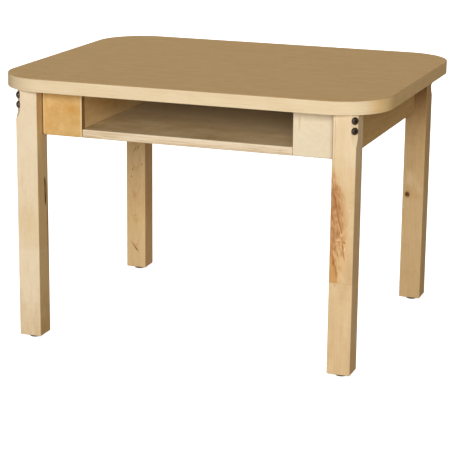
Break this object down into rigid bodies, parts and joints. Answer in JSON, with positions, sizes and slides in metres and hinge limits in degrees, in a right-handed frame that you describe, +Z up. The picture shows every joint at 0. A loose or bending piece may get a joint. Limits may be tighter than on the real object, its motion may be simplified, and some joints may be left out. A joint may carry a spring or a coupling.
{
  "type": "classroom desk",
  "caption": "Rectangular classroom desk with a rounded-corner laminated top, square bolted hardwood legs, plywood rails and an open book box under the top.",
  "frame": {"origin": "on the floor under the middle of the top", "axes": "+X to the right of someone facing the open side, -Y towards that person, +Z up"},
  "size_m": [0.762, 0.61, 0.52],
  "materials": {
    "laminate_tan": "matte high-pressure laminate with a faint wood print",
    "edge_maple": "pale maple edge, fine grain along its length, satin lacquer",
    "core_board": "raw particle board",
    "backer_sheet": "thin brown balancing sheet",
    "leg_hardwood": "clear satin lacquer on pale birch or maple",
    "rail_birch": "clear satin lacquer on birch plywood",
    "panel_figured": "clear satin lacquer on golden figured birch",
    "box_plywood": "clear lacquer on birch plywood",
    "block_hardwood": "planed hardwood",
    "bolt_bronze": "dark bronze plated steel",
    "zinc_steel": "zinc-plated steel",
    "glide_dark": "dark plated steel"
  },
  "bodies": {
    "root": {"back_apron": "rail_birch", "block_screws": "zinc_steel", "book_shelf": "box_plywood", "box_wall_left": "box_plywood", "box_wall_right": "box_plywood", "corner_block_back_left": "block_hardwood", "corner_block_back_right": "block_hardwood", "corner_block_front_left": "block_hardwood", "corner_block_front_right": "block_hardwood", "front_panel_left": "panel_figured", "front_panel_right": "rail_birch", "glide_back_left": "glide_dark", "glide_back_right": "glide_dark", "glide_front_left": "glide_dark", "glide_front_right": "glide_dark", "leg_back_left": "leg_hardwood", "leg_back_right": "leg_hardwood", "leg_bolts": "bolt_bronze", "leg_front_left": "leg_hardwood", "leg_front_right": "leg_hardwood", "shelf_screws": "zinc_steel", "side_apron_left": "rail_birch", "side_apron_right": "rail_birch", "threaded_inserts": "zinc_steel", "top_backer": "backer_sheet", "top_core": "core_board", "top_edge_band": "edge_maple", "top_laminate": "laminate_tan", "top_screws": "zinc_steel"}
  },
  "joints": []
}
